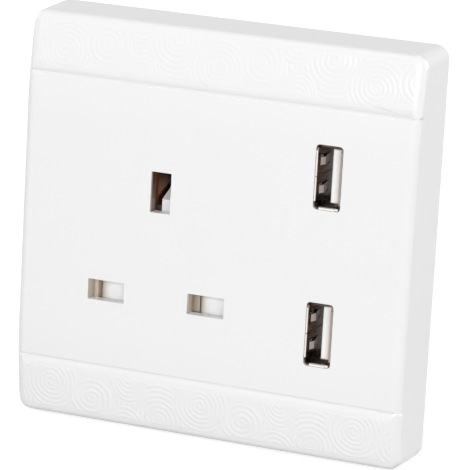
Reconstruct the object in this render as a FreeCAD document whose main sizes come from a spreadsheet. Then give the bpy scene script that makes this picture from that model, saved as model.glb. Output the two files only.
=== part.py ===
import FreeCAD, Part
import math
import os
import Sketcher
from FreeCAD import Placement, Rotation, Vector

# Single 13 A wall socket with two upright USB charging ports, all sizes in millimetres.
# X runs to the right, Z upwards and the front faces -Y. The wall plane is Y = 0, so a
# "forward" distance below is measured from the wall towards the viewer, along -Y.

doc = FreeCAD.newDocument("UsbWallSocket")
sheet = doc.addObject("Spreadsheet::Sheet", "Sizes")

DRIVING_SIZES = [
    # front plate
    ("plate_width", 86.0),
    ("plate_height", 86.0),
    ("plate_depth", 15.2),
    ("plate_draft", 0.42),
    ("corner_round", 2.8),
    ("edge_round", 1.8),
    ("crown_start", 22.0),
    ("crown_radius", 90.0),
    ("cover_wall", 2.2),
    ("face_wall", 2.3),
    ("band_wall", 1.4),
    ("face_height", 60.2),
    ("strip_thickness", 1.8),
    ("joint_groove", 0.28),
    ("peg_radius", 1.2),
    ("peg_spacing", 27.0),
    ("nib_width", 8.0),
    ("nib_reach", 0.9),
    ("nib_rear", 0.4),
    ("nib_front", 1.4),
    # swirl relief of the two trim strips
    ("swirl_pitch", 1.6),
    ("swirl_width", 0.6),
    ("swirl_height", 0.3),
    ("swirl_repeat", 33.7),
    ("swirl_border", 1.6),
    # socket apertures
    ("socket_offset", -11.5),
    ("pin_row_height", -13.87),
    ("pin_spacing", 22.23),
    ("earth_rise", 22.23),
    ("pin_slot_width", 8.1),
    ("pin_slot_height", 4.3),
    ("earth_slot_width", 4.4),
    ("earth_slot_height", 8.5),
    ("slot_relief", 0.6),
    # mounting frame
    ("fixing_spacing", 60.3),
    ("fixing_hole_radius", 2.1),
    ("fixing_pad_radius", 5.0),
    ("frame_plate", 3.0),
    ("frame_rim", 5.0),
    ("frame_gap", 0.4),
    ("frame_rib_width", 1.2),
    ("frame_rib_offset", 13.0),
    ("tower_wall", 1.6),
    ("tower_front_wall", 1.8),
    ("tower_gap", 0.4),
    ("tower_left", 29.5),
    ("tower_right", 30.5),
    ("tower_bottom", 28.0),
    ("tower_top", 27.0),
    ("tower_round", 1.2),
    ("waist_half", 6.2),
    ("waist_depth", 6.0),
    ("module_gap", 0.2),
    # contact base
    ("base_right", 7.6),
    ("base_rear", 14.0),
    ("deck_gap", 2.6),
    ("ear_width", 7.0),
    ("ear_thickness", 2.2),
    ("ear_screw_offset", 2.6),
    ("rear_cover_thickness", 1.6),
    ("spring_post_rise", 2.5),
    ("spring_post_height", 1.5),
    # shutter
    ("shutter_thickness", 1.6),
    ("shutter_gap", 0.6),
    ("shutter_pad_width", 6.9),
    ("shutter_travel", 4.9),
    ("shutter_bar_height", 2.3),
    ("shutter_bar_drop", 1.6),
    ("shutter_pad_cover", 0.45),
    ("shutter_pad_round", 1.35),
    ("shutter_stem_width", 6.9),
    ("ramp_width", 3.5),
    ("ramp_rise", 3.45),
    ("ramp_reach", 8.2),
    ("ramp_foot_drop", 3.1),
    ("ramp_knee_rise", 1.75),
    ("ramp_tail", 2.6),
    ("ramp_setback", 0.2),
    # shutter spring
    ("spring_radius", 0.9),
    ("spring_wire", 0.36),
    ("spring_turns", 7.0),
    ("spring_length", 9.35),
    ("spring_side_gap", 0.45),
    # contacts and terminals
    ("contact_thickness", 0.8),
    ("pin_leaf_width", 6.0),
    ("earth_leaf_width", 6.2),
    ("leaf_mouth", 2.55),
    ("leaf_pinch", 1.85),
    ("leaf_bow", 0.25),
    ("leaf_shoulder", 1.0),
    ("earth_mouth_gap", 0.4),
    ("pin_pinch_place", 0.5),
    ("pin_web_depth", 3.5),
    ("earth_pinch_place", -2.0),
    ("earth_web_depth", 8.2),
    ("block_width", 7.4),
    ("block_height", 7.0),
    ("block_length", 8.0),
    ("earth_block_rise", 5.3),
    ("wire_bore_radius", 1.9),
    ("terminal_screw_radius", 1.75),
    ("terminal_head_radius", 2.7),
    ("terminal_head_height", 1.8),
    ("terminal_screw_length", 3.0),
    # assembly screws
    ("screw_radius", 1.2),
    ("screw_head_radius", 2.4),
    ("screw_head_height", 1.5),
    ("screw_length", 6.4),
    ("screw_tip_cover", 1.0),
    # usb ports and charger
    ("usb_offset", 24.4),
    ("usb_height", 16.2),
    ("shell_width", 5.6),
    ("shell_height", 13.1),
    ("shell_wall", 0.32),
    ("shell_round", 0.7),
    ("shell_length", 14.0),
    ("shell_inset", 0.1),
    ("window_gap", 0.1),
    ("corner_notch", 1.15),
    ("notch_depth", 0.45),
    ("shell_seam", 0.16),
    ("port_spring_setback", 1.5),
    ("port_spring_length", 5.5),
    ("port_spring_lead", 1.5),
    ("port_spring_lift", 0.06),
    ("port_spring_offset", 2.9),
    ("port_spring_width", 1.8),
    ("port_spring_slot", 2.3),
    ("port_spring_bend", 0.62),
    ("port_spring_lap", 0.4),
    ("tongue_thickness", 1.84),
    ("tongue_height", 11.1),
    ("tongue_recess", 2.4),
    ("tongue_side_gap", 0.8),
    ("tongue_base", 2.2),
    ("usb_pin_setback", 1.2),
    ("usb_pin_width", 1.1),
    ("usb_pin_thickness", 0.28),
    ("usb_pin_pitch", 2.3),
    ("case_left", 8.4),
    ("case_wall", 1.4),
    ("case_front", 4.0),
    ("case_rear", 19.0),
    ("case_ledge", 1.0),
    ("board_thickness", 1.6),
    ("board_gap", 0.3),
    ("core_width", 9.0),
    ("core_height", 14.0),
    ("core_depth", 10.0),
    ("core_leg", 1.8),
    ("core_cheek", 0.8),
    ("capacitor_radius", 4.0),
    ("capacitor_length", 12.5),
    ("capacitor_neck", 0.3),
    ("capacitor_foot", 1.5),
    ("capacitor_rise", 16.8),
    ("chip_width", 4.0),
    ("chip_height", 5.0),
    ("chip_thickness", 1.5),
    ("chip_offset", 4.4),
    ("link_width", 1.5),
    ("link_reach", 4.6),
]

for row, (alias, number) in enumerate(DRIVING_SIZES, start=1):
    sheet.set(f"A{row}", alias)
    sheet.set(f"B{row}", str(number))
    sheet.setAlias(f"B{row}", alias)
doc.recompute()


class Size:
    """A length that carries its number together with the sheet formula behind it."""

    def __init__(self, number, formula=None):
        self.number = float(number)
        self.formula = formula if formula is not None else repr(float(number))

    def _with(self, other, sign, number, swapped=False):
        other = other if isinstance(other, Size) else Size(other)
        left, right = (other, self) if swapped else (self, other)
        return Size(number(left.number, right.number), f"({left.formula} {sign} {right.formula})")

    def __add__(self, other):
        return self._with(other, "+", lambda a, b: a + b)

    def __radd__(self, other):
        return self._with(other, "+", lambda a, b: a + b, True)

    def __sub__(self, other):
        return self._with(other, "-", lambda a, b: a - b)

    def __rsub__(self, other):
        return self._with(other, "-", lambda a, b: a - b, True)

    def __mul__(self, other):
        return self._with(other, "*", lambda a, b: a * b)

    def __rmul__(self, other):
        return self._with(other, "*", lambda a, b: a * b, True)

    def __truediv__(self, other):
        return self._with(other, "/", lambda a, b: a / b)

    def __neg__(self):
        return Size(-self.number, f"(0 - {self.formula})")


TOUCH = 0.05
S = {alias: Size(sheet.get(alias), f"Sizes.{alias}") for alias, _ in DRIVING_SIZES}
ZERO = Size(0)


def size(value):
    return value if isinstance(value, Size) else Size(value)


def root(value):
    return Size(math.sqrt(value.number), f"sqrt({value.formula})")


def bind(target, name, value):
    value = size(value)
    target.setExpression(name, value.formula)


# Sketches and solid features

def new_body(label):
    body = doc.addObject("PartDesign::Body", label)
    body.Label = label
    return body


def origin_plane(body, role):
    return next(item for item in body.Origin.OriginFeatures if item.Role == role)


def new_sketch(body, role, offset):
    sketch = body.newObject("Sketcher::SketchObject", body.Label + "_outline")
    sketch.AttachmentSupport = [(origin_plane(body, role), "")]
    sketch.MapMode = "FlatFace"
    bind(sketch, "AttachmentOffset.Base.z", offset)
    return sketch


def fix_point(sketch, geometry, point, x, y):
    for kind, value in (("DistanceX", x), ("DistanceY", y)):
        value = size(value)
        index = sketch.addConstraint(Sketcher.Constraint(kind, -1, 1, geometry, point, value.number))
        sketch.setExpression(f"Constraints[{index}]", value.formula)


def draw_polygon(sketch, corners):
    corners = [(size(x), size(y)) for x, y in corners]
    points = [Vector(x.number, y.number, 0) for x, y in corners]
    count = len(points)
    first = sketch.GeometryCount
    for index in range(count):
        sketch.addGeometry(Part.LineSegment(points[index], points[(index + 1) % count]), False)
    for index in range(count):
        following = first + (index + 1) % count
        sketch.addConstraint(Sketcher.Constraint("Coincident", first + index, 2, following, 1))
    for index, (x, y) in enumerate(corners):
        fix_point(sketch, first + index, 1, x, y)


def draw_circle(sketch, x, y, radius):
    x, y, radius = size(x), size(y), size(radius)
    circle = Part.Circle(Vector(x.number, y.number, 0), Vector(0, 0, 1), radius.number)
    geometry = sketch.addGeometry(circle, False)
    fix_point(sketch, geometry, 3, x, y)
    index = sketch.addConstraint(Sketcher.Constraint("Radius", geometry, radius.number))
    sketch.setExpression(f"Constraints[{index}]", radius.formula)


def rectangle(left, right, bottom, top):
    return [(left, bottom), (right, bottom), (right, top), (left, top)]


def centred(x, z, width, height):
    x, z, width, height = size(x), size(z), size(width), size(height)
    return rectangle(x - width / 2, x + width / 2, z - height / 2, z + height / 2)


def sketch_shapes(body, role, offset, polygons, circles):
    sketch = new_sketch(body, role, offset)
    for corners in polygons:
        draw_polygon(sketch, corners)
    for circle in circles:
        draw_circle(sketch, *circle)
    return sketch


def add_front(body, rear, front, polygons=(), circles=()):
    """Pad outlines of the front view from one forward distance to another."""
    pad_sketch = sketch_shapes(body, "XZ_Plane", rear, polygons, circles)
    pad = body.newObject("PartDesign::Pad", body.Label + "_pad")
    pad.Profile = pad_sketch
    bind(pad, "Length", size(front) - rear)
    doc.recompute()
    return pad


def cut_front(body, rear, front, polygons=(), circles=()):
    """Pocket outlines of the front view between two forward distances."""
    cut_sketch = sketch_shapes(body, "XZ_Plane", front, polygons, circles)
    pocket = body.newObject("PartDesign::Pocket", body.Label + "_cut")
    pocket.Profile = cut_sketch
    bind(pocket, "Length", size(front) - rear)
    before = body.Shape.Volume
    doc.recompute()
    if body.Shape.Volume >= before:
        raise ValueError(f"a pocket of {body.Label} removes nothing")
    return pocket


def profile_pad(body, role, centre, width, corners):
    """Pad a side or top profile evenly to both sides of a plane at the distance centre."""
    sketch = sketch_shapes(body, role, size(centre) - size(width) / 2, [corners], [])
    pad = body.newObject("PartDesign::Pad", body.Label + "_profile")
    pad.Profile = sketch
    bind(pad, "Length", width)
    doc.recompute()
    return pad


def profile_cut(body, role, start, end, polygons=(), circles=()):
    """Pocket a side or top profile between two distances from a plane."""
    sketch = sketch_shapes(body, role, end, polygons, circles)
    pocket = body.newObject("PartDesign::Pocket", body.Label + "_cut")
    pocket.Profile = sketch
    bind(pocket, "Length", size(end) - start)
    before = body.Shape.Volume
    doc.recompute()
    if body.Shape.Volume >= before:
        raise ValueError(f"a pocket of {body.Label} removes nothing")
    return pocket


def edge_names(shape, wanted):
    return [f"Edge{number}" for number, edge in enumerate(shape.Edges, start=1) if wanted(edge)]


def runs_forward(edge):
    start, end = edge.Vertexes[0].Point, edge.Vertexes[-1].Point
    return abs(start.x - end.x) + abs(start.z - end.z) < abs(start.y - end.y) / 4


def round_edges(body, radius, wanted):
    base = body.Tip
    names = edge_names(base.Shape, wanted)
    if not names:
        raise ValueError(f"{body.Label} has no edge to round")
    fillet = body.newObject("PartDesign::Fillet", body.Label + "_round")
    fillet.Base = (base, names)
    bind(fillet, "Radius", radius)
    doc.recompute()
    return fillet


def waisted(left, right, bottom, top, left_waist, right_waist, inset=0):
    """A block outline whose sides step in at mid height to clear the fixing screws."""
    half = S["waist_half"] + inset
    corners = [(left, bottom), (right, bottom)]
    if right_waist is not None:
        corners += [(right, -half), (right_waist, -half), (right_waist, half), (right, half)]
    corners += [(right, top), (left, top)]
    if left_waist is not None:
        corners += [(left, half), (left_waist, half), (left_waist, -half), (left, -half)]
    return corners


# Places that several pieces share

half_width = S["plate_width"] / 2
half_height = S["plate_height"] / 2
band_edge = S["face_height"] / 2
band_height = half_height - band_edge
recess_half = band_edge - S["band_wall"]
socket_x = S["socket_offset"]
pin_z = S["pin_row_height"]
earth_z = pin_z + S["earth_rise"]
neutral_x = socket_x - S["pin_spacing"] / 2
line_x = socket_x + S["pin_spacing"] / 2
fixing_x = S["fixing_spacing"] / 2
usb_x = S["usb_offset"]
usb_z = S["usb_height"]

face_back = S["plate_depth"] - S["face_wall"]
tower_front = face_back - S["tower_gap"]
tower_inside = tower_front - S["tower_front_wall"]
deck = tower_inside - S["deck_gap"]
cavity_left = -(S["tower_left"] - S["tower_wall"])
cavity_right = S["tower_right"] - S["tower_wall"]
cavity_bottom = -(S["tower_bottom"] - S["tower_wall"])
cavity_top = S["tower_top"] - S["tower_wall"]
left_waist = -(S["tower_left"] - S["waist_depth"])
right_waist = S["tower_right"] - S["waist_depth"]
base_left = cavity_left + S["module_gap"]
base_bottom = cavity_bottom + S["module_gap"]
base_top = cavity_top - S["module_gap"]
shutter_front = tower_inside - S["shutter_gap"]
shutter_rear = shutter_front - S["shutter_thickness"]
shell_front = S["plate_depth"] - S["shell_inset"]
board_front = shell_front - S["shell_length"]
board_rear = board_front - S["board_thickness"]
ear_top = S["tower_top"] + S["ear_screw_offset"]
ear_bottom = -(S["tower_bottom"] + S["ear_screw_offset"])
base_ear_x = socket_x - 7
case_ear_x = (S["case_left"] + cavity_right) / 2
ears = [(base_ear_x, ear_top), (base_ear_x, ear_bottom), (case_ear_x, ear_top), (case_ear_x, ear_bottom)]


def crowned(height, inset=0):
    """Forward distance of the crowned front, or of a surface inset behind it, at a height."""
    past = height - S["crown_start"]
    radius = S["crown_radius"] - inset
    return S["plate_depth"] - S["crown_radius"] + root(radius * radius - past * past)


# Primitive solids and booleans

def place(part, x, y, z, rotation=Rotation()):
    part.Placement = Placement(Vector(size(x).number, size(y).number, size(z).number), rotation)
    for axis, value in (("x", x), ("y", y), ("z", z)):
        bind(part, f"Placement.Base.{axis}", value)


def new_box(label, left, right, rear, front, bottom, top):
    box = doc.addObject("Part::Box", label)
    bind(box, "Length", size(right) - left)
    bind(box, "Width", size(front) - rear)
    bind(box, "Height", size(top) - bottom)
    place(box, left, -size(front), bottom)
    return box


def new_bar(label, radius, left, right, forward, z):
    bar = doc.addObject("Part::Cylinder", label)
    bind(bar, "Radius", radius)
    bind(bar, "Height", size(right) - left)
    place(bar, left, -size(forward), z, Rotation(Vector(0, 1, 0), 90))
    return bar


def new_peg(label, radius, x, z, rear, front):
    peg = doc.addObject("Part::Cylinder", label)
    bind(peg, "Radius", radius)
    bind(peg, "Height", size(front) - rear)
    place(peg, x, -size(rear), z, Rotation(Vector(1, 0, 0), 90))
    return peg


def cut(label, base, tool):
    result = doc.addObject("Part::Cut", label)
    result.Base = base
    result.Tool = tool
    return result


def fuse(label, pieces):
    result = doc.addObject("Part::MultiFuse", label)
    result.Shapes = pieces
    return result


def common(label, pieces):
    result = doc.addObject("Part::MultiCommon", label)
    result.Shapes = pieces
    return result


# Front plate envelope, shared by the cover and its two trim strips

def beyond(label, side, start, inset):
    """Everything in front of the crowned surface, from a start height outwards."""
    far = S["plate_height"]
    bottom, top = (start, far) if side > 0 else (-far, -start)
    reach = S["plate_depth"] + band_height
    block = new_box(label + "_block", -S["plate_width"], S["plate_width"], ZERO, reach, bottom, top)
    forward = S["plate_depth"] - S["crown_radius"]
    bar = new_bar(label + "_bar", S["crown_radius"] - inset, -S["plate_width"], S["plate_width"],
                  forward, side * S["crown_start"])
    return cut(label, block, bar)


def joint_groove(label, side):
    """A square bar turned on its edge, which leaves a V groove along the strip's joint."""
    groove = doc.addObject("Part::Box", label)
    bind(groove, "Length", 2 * S["plate_width"])
    bind(groove, "Width", S["joint_groove"] * 2)
    bind(groove, "Height", S["joint_groove"] * 2)
    diagonal = S["joint_groove"] * math.sqrt(2)
    place(groove, -S["plate_width"], -crowned(band_edge), side * band_edge - diagonal,
          Rotation(Vector(1, 0, 0), 45))
    return groove


def on_front_outline(edge):
    """True for the edges where the front face meets the four side walls."""
    middle = edge.valueAt((edge.FirstParameter + edge.LastParameter) / 2)
    inside_x = half_width.number - S["plate_draft"].number - S["corner_round"].number / 2
    inside_z = half_height.number - S["plate_draft"].number - S["corner_round"].number / 2
    outer = abs(middle.x) > inside_x or abs(middle.z) > inside_z
    past = max(abs(middle.z) - S["crown_start"].number, 0.0)
    radius = S["crown_radius"].number
    front = S["plate_depth"].number - radius + math.sqrt(radius ** 2 - past ** 2)
    spans = edge.BoundBox.YLength
    return outer and abs(-middle.y - front) < TOUCH and spans < front / 2


SIDES = ((1, "top"), (-1, "bottom"))

blank = new_body("plate_blank")
blank_pad = add_front(blank, ZERO, S["plate_depth"], [centred(0, 0, S["plate_width"], S["plate_height"])])
blank_pad.setExpression("TaperAngle", "-atan(Sizes.plate_draft / Sizes.plate_depth)")
doc.recompute()
round_edges(blank, S["corner_round"], runs_forward)
crowns = [beyond(word + "_crown", side, S["crown_start"], ZERO) for side, word in SIDES]
crowned_blank = cut("crowned_blank", blank, fuse("crowns", crowns))
doc.recompute()
soft_blank = doc.addObject("Part::Fillet", "soft_blank")
soft_blank.Base = crowned_blank
soft_blank.Edges = [(number, S["edge_round"].number, S["edge_round"].number)
                    for number, edge in enumerate(crowned_blank.Shape.Edges, start=1)
                    if on_front_outline(edge)]
doc.recompute()
grooves = [joint_groove(word + "_groove", side) for side, word in SIDES]
envelope = cut("plate_envelope", soft_blank, fuse("joint_grooves", grooves))
doc.recompute()


# Trim strips with their swirl relief

RIBBON_STEPS = 15
SWIRL_OUTER = 4.6
SMALL_SWIRL = 3.0


def ribbon(x, z, outer, turns, start, pitch):
    """A flat spiral ribbon, drawn from its outer end inwards. A pitch of 0 gives an arc."""
    half = S["swirl_width"].number / 2
    steps = max(3, round(abs(turns) * RIBBON_STEPS * (0.5 + outer / (2 * SWIRL_OUTER))))
    rim = []
    core = []
    for step in range(steps + 1):
        turned = turns * step / steps
        angle = 2 * math.pi * (start + turned)
        reach = outer - pitch * abs(turned)
        for points, radius in ((rim, reach + half), (core, reach - half)):
            points.append(Vector(x + radius * math.cos(angle), 0, z + radius * math.sin(angle)))
    outline = rim + core[::-1]
    return Part.Face(Part.makePolygon(outline + outline[:1]))


def swirl_faces():
    """The ribbons of the lower band: two large swirls, a small one and nested waves, repeated."""
    pitch = S["swirl_pitch"].number
    repeat = S["swirl_repeat"].number
    middle = -(band_edge.number + band_height.number / 2)
    faces = []
    for copy in range(-1, 2):
        x = copy * repeat
        faces.append(ribbon(x - 0.9, middle + 1.2, SWIRL_OUTER, 2.6, 0.25, pitch))
        faces.append(ribbon(x + 8.6, middle - 0.5, SWIRL_OUTER - 0.2, -2.5, 0.55, pitch))
        faces.append(ribbon(x + 22.9, middle - 2.4, SMALL_SWIRL, 1.7, 0.3, pitch))
        for order in range(1, 3):
            faces.append(ribbon(x + 22.9, middle - 2.4, SMALL_SWIRL + order * pitch, 0.3, 0.12, 0))
            faces.append(ribbon(x + 17.4, middle + 5.4, order * pitch + 1.2, 0.42, 0.54, 0))
    return faces


def swirl_relief():
    """Ribs that stand on the lower crowned band by the relief height, clear of its borders."""
    rail = S["swirl_height"]
    top = -(band_edge + S["swirl_border"])
    bottom = -(half_height - S["plate_draft"] - S["edge_round"])
    reach = half_width - S["plate_draft"] - S["edge_round"]
    field = new_box("relief_field", -reach, reach, tower_front / 2, S["plate_depth"] + rail, bottom, top)
    forward = S["plate_depth"] - S["crown_radius"]
    crests = new_bar("relief_crests", S["crown_radius"] + rail, -reach, reach, forward, -S["crown_start"])
    roots = new_bar("relief_roots", S["crown_radius"] - rail * 2, -2 * reach, 2 * reach, forward,
                    -S["crown_start"])
    layer = cut("relief_layer", common("relief_block", [field, crests]), roots)
    doc.recompute()
    depth = Vector(0, S["plate_depth"].number * 2, 0)
    ribs = []
    for face in swirl_faces():
        face.translate(-depth)
        ribs.append(face.extrude(depth))
    relief = doc.addObject("Part::Feature", "swirl_relief")
    relief.Shape = layer.Shape.common(ribs[0].multiFuse(ribs[1:]))
    return relief


def trim_strip():
    """The lower band inlay, cut from the plate envelope, with three pegs that reach the cover."""
    seat = beyond("strip_seat", -1, band_edge, S["strip_thickness"])
    plain = common("plain_strip", [envelope, seat])
    middle = band_edge + band_height / 2
    peg_front = crowned(middle, S["strip_thickness"]) + S["strip_thickness"] / 2
    pegs = [new_peg(f"strip_peg_{order}", S["peg_radius"], (order - 1) * S["peg_spacing"], -middle,
                    void_front - S["band_wall"], peg_front) for order in range(3)]
    return fuse("bottom_trim_strip", [plain, swirl_relief()] + pegs)


void_front = crowned(half_height - S["plate_draft"], S["strip_thickness"]) - S["band_wall"]
bottom_trim_strip = trim_strip()
top_trim_strip = doc.addObject("Part::Mirroring", "top_trim_strip")
top_trim_strip.Source = bottom_trim_strip
top_trim_strip.Normal = Vector(0, 0, 1)
doc.recompute()


# Front cover

inside = new_body("cover_inside")
add_front(inside, ZERO, void_front, [centred(0, 0, S["plate_width"] - 2 * S["cover_wall"],
                                              S["plate_height"] - 2 * S["cover_wall"])])
round_edges(inside, S["corner_round"] / 2, runs_forward)
add_front(inside, ZERO, face_back, [centred(0, 0, S["plate_width"] - 2 * S["cover_wall"] - S["band_wall"],
                                            2 * recess_half)])


def pin_apertures(relief):
    """Outlines of the three pin apertures, widened by a relief on every side."""
    places = [(socket_x, earth_z, S["earth_slot_width"], S["earth_slot_height"]),
              (neutral_x, pin_z, S["pin_slot_width"], S["pin_slot_height"]),
              (line_x, pin_z, S["pin_slot_width"], S["pin_slot_height"])]
    return [centred(x, z, width + 2 * relief, height + 2 * relief) for x, z, width, height in places]


window_width = S["shell_width"] + 2 * S["window_gap"]
window_height = S["shell_height"] + 2 * S["window_gap"]
windows = [centred(usb_x, side * usb_z, window_width, window_height) for side, _ in SIDES]
add_front(inside, face_back - S["face_wall"], S["plate_depth"] + S["face_wall"],
          pin_apertures(ZERO) + windows)
round_edges(inside, S["shell_round"] + S["window_gap"], lambda edge: runs_forward(edge)
            and abs(edge.BoundBox.XMin - usb_x.number) < window_width.number / 2 + TOUCH)
peg_row = band_edge + band_height / 2
peg_holes = [((order - 1) * S["peg_spacing"], side * peg_row, S["peg_radius"] + S["window_gap"])
             for side, _ in SIDES for order in range(3)]
add_front(inside, void_front - S["band_wall"], S["plate_depth"] + S["face_wall"], [], peg_holes)

nib_x = S["plate_width"] / 4
nib_root = half_height - S["cover_wall"]
nibs = []
for side, word in SIDES:
    for hand in (-1, 1):
        x = hand * nib_x
        bottom = nib_root - S["nib_reach"]
        top = nib_root + S["cover_wall"] / 2
        low, high = (bottom, top) if side > 0 else (-top, -bottom)
        nibs.append(new_box(f"{word}_nib_{hand + 1}", x - S["nib_width"] / 2, x + S["nib_width"] / 2,
                            S["nib_rear"], S["nib_front"], low, high))
seats = [beyond(word + "_cover_seat", side, band_edge, S["strip_thickness"]) for side, word in SIDES]
hollow_cover = cut("hollow_cover", envelope, fuse("cover_cuts", [inside] + seats))
front_cover = fuse("front_cover", [hollow_cover] + nibs)
doc.recompute()


# Mounting frame: wall plate, fixing pads and the tower that carries the socket and charger

mounting_frame = new_body("mounting_frame")
frame_width = S["plate_width"] - 2 * S["cover_wall"] - 2 * S["frame_gap"]
frame_height = S["plate_height"] - 2 * S["cover_wall"] - 2 * S["frame_gap"]
add_front(mounting_frame, ZERO, S["frame_plate"], [centred(0, 0, frame_width, frame_height)])
rim = 2 * S["tower_wall"]
add_front(mounting_frame, ZERO, S["frame_rim"], [centred(0, 0, frame_width, frame_height),
                                                 centred(0, 0, frame_width - rim, frame_height - rim)])
round_edges(mounting_frame, S["tower_round"], lambda edge: runs_forward(edge)
            and abs(edge.BoundBox.XMin) > frame_width.number / 2 - TOUCH)
ribs = []
for hand in (-1, 1):
    x = hand * S["frame_rib_offset"]
    half = S["frame_rib_width"] / 2
    ribs.append(rectangle(x - half, x + half, recess_half, frame_height / 2))
    ribs.append(rectangle(x - half, x + half, -frame_height / 2, -recess_half))
add_front(mounting_frame, ZERO, S["frame_rim"], ribs)
tower = waisted(-S["tower_left"], S["tower_right"], -S["tower_bottom"], S["tower_top"],
                left_waist, right_waist)
add_front(mounting_frame, ZERO, tower_front, [tower])
round_edges(mounting_frame, S["tower_round"], lambda edge: runs_forward(edge)
            and edge.BoundBox.YMin < -tower_front.number + TOUCH)
fixings = [(hand * fixing_x, 0) for hand in (-1, 1)]
add_front(mounting_frame, ZERO, S["frame_rim"], [], [(x, z, S["fixing_pad_radius"]) for x, z in fixings])
screw_tip = S["screw_length"] - S["ear_thickness"]
add_front(mounting_frame, ZERO, screw_tip + S["screw_tip_cover"], [],
          [(x, z, S["screw_head_radius"] + S["frame_gap"]) for x, z in ears])
cavity = waisted(cavity_left, cavity_right, cavity_bottom, cavity_top,
                 left_waist + S["tower_wall"], right_waist - S["tower_wall"], S["tower_wall"])
cut_front(mounting_frame, ZERO, tower_inside, [cavity])
cut_front(mounting_frame, tower_inside, tower_front, pin_apertures(S["slot_relief"]) + windows)
cut_front(mounting_frame, ZERO, S["frame_rim"], [], [(x, z, S["fixing_hole_radius"]) for x, z in fixings])
cut_front(mounting_frame, ZERO, screw_tip + S["frame_gap"], [], [(x, z, S["screw_radius"]) for x, z in ears])
undercut_width = S["nib_width"] + 2 * S["frame_gap"]
undercuts = [centred(hand * nib_x, side * frame_height / 2, undercut_width, 2 * S["nib_reach"])
             for side, _ in SIDES for hand in (-1, 1)]
cut_front(mounting_frame, ZERO, S["nib_front"] + S["module_gap"], undercuts)


# Contact base: carries the contacts and guides the shutter

def ear_tabs(body, x, bottom, top):
    """Two screw ears above and below a block, behind the frame's plate."""
    half = S["ear_width"] / 2
    ear_end = S["ear_screw_offset"] + S["ear_width"] / 2
    root_lap = S["tower_wall"]
    tabs = [rectangle(x - half, x + half, top - root_lap, S["tower_top"] + ear_end),
            rectangle(x - half, x + half, -(S["tower_bottom"] + ear_end), bottom + root_lap)]
    add_front(body, -S["ear_thickness"], ZERO, tabs)
    cut_front(body, -S["ear_thickness"], ZERO, [], [(x, z, S["screw_radius"] + S["window_gap"])
                                                     for z in (ear_top, ear_bottom)])


contact_base = new_body("contact_base")
module_inset = S["tower_wall"] + S["module_gap"]
base_outline = waisted(base_left, S["base_right"], base_bottom, base_top,
                       left_waist + module_inset, None, module_inset)
add_front(contact_base, -S["base_rear"], tower_inside - S["window_gap"], [base_outline])
shutter_room = S["shutter_gap"] / 2
pad_half = S["shutter_pad_width"] / 2
stem_half = S["shutter_stem_width"] / 2
bar_top = pin_z - S["pin_slot_height"] / 2 - S["shutter_bar_drop"]
bar_bottom = bar_top - S["shutter_bar_height"]
lowest_bar = bar_bottom - S["shutter_travel"]
pad_top = pin_z + S["pin_slot_height"] / 2 + S["shutter_pad_cover"]
cut_front(contact_base, deck, tower_inside,
          [rectangle(neutral_x - pad_half - shutter_room, line_x + pad_half + shutter_room,
                     lowest_bar - shutter_room, pad_top + shutter_room)])
cut_front(contact_base, deck, tower_inside,
          [rectangle(socket_x - stem_half - shutter_room, socket_x + stem_half + shutter_room,
                     pad_top, earth_z + S["earth_slot_height"] / 2 + S["slot_relief"])])
ramp_half = S["ramp_width"] / 2
ramp_foot = earth_z - S["earth_slot_height"] / 2 - S["ramp_foot_drop"]
ramp_knee = earth_z - S["earth_slot_height"] / 2 + S["ramp_knee_rise"]
ramp_top = ramp_knee + S["ramp_rise"]
ramp_rear = shutter_front - S["ramp_reach"]
cut_front(contact_base, ramp_rear - shutter_room, deck,
          [rectangle(socket_x - ramp_half - shutter_room, socket_x + ramp_half + shutter_room,
                     ramp_foot - S["shutter_travel"] - shutter_room, ramp_top + shutter_room)])

web_front = -S["pin_web_depth"]
web_rear = web_front - S["contact_thickness"]
earth_web_front = -S["earth_web_depth"]
earth_web_rear = earth_web_front - S["contact_thickness"]
leaf_reach = S["leaf_mouth"] + S["contact_thickness"]
pocket_gap = S["module_gap"]
pin_pockets = [centred(x, pin_z, S["pin_slot_width"], 2 * leaf_reach + 2 * pocket_gap)
               for x in (neutral_x, line_x)]
earth_pocket = centred(socket_x, earth_z, 2 * leaf_reach + 2 * pocket_gap, S["earth_slot_height"])
cut_front(contact_base, web_rear, deck, pin_pockets)
cut_front(contact_base, earth_web_rear, deck, [earth_pocket])
block_half = S["block_width"] / 2 + pocket_gap
block_tall = S["block_height"] / 2 + pocket_gap
pin_wells = [centred(x, pin_z, 2 * block_half, 2 * block_tall) for x in (neutral_x, line_x)]
cut_front(contact_base, -S["base_rear"], web_rear, pin_wells)
earth_block_z = earth_z + S["earth_slot_height"] / 2 + S["earth_block_rise"]
earth_block_front = earth_web_front + S["block_length"]
cut_front(contact_base, -S["base_rear"], earth_web_front + pocket_gap,
          [rectangle(socket_x - block_half, socket_x + block_half,
                     earth_z - S["earth_leaf_width"] / 2 - pocket_gap, earth_block_z + block_tall)])
cut_front(contact_base, earth_web_front, earth_block_front + pocket_gap,
          [rectangle(socket_x - block_half, socket_x + block_half,
                     earth_block_z - block_tall, earth_block_z + block_tall)])
wire_forward = web_rear - S["block_length"] / 2
profile_cut(contact_base, "XY_Plane", base_bottom, pin_z, [],
            [(x, -wire_forward, S["wire_bore_radius"]) for x in (neutral_x, line_x)])
earth_wire_forward = earth_web_front + S["block_length"] / 2
profile_cut(contact_base, "XY_Plane", earth_block_z, base_top, [],
            [(socket_x, -earth_wire_forward, S["wire_bore_radius"])])
link_z = pin_z - leaf_reach - S["link_width"] - pocket_gap
line_link_z = pin_z - S["link_width"] / 2
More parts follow.
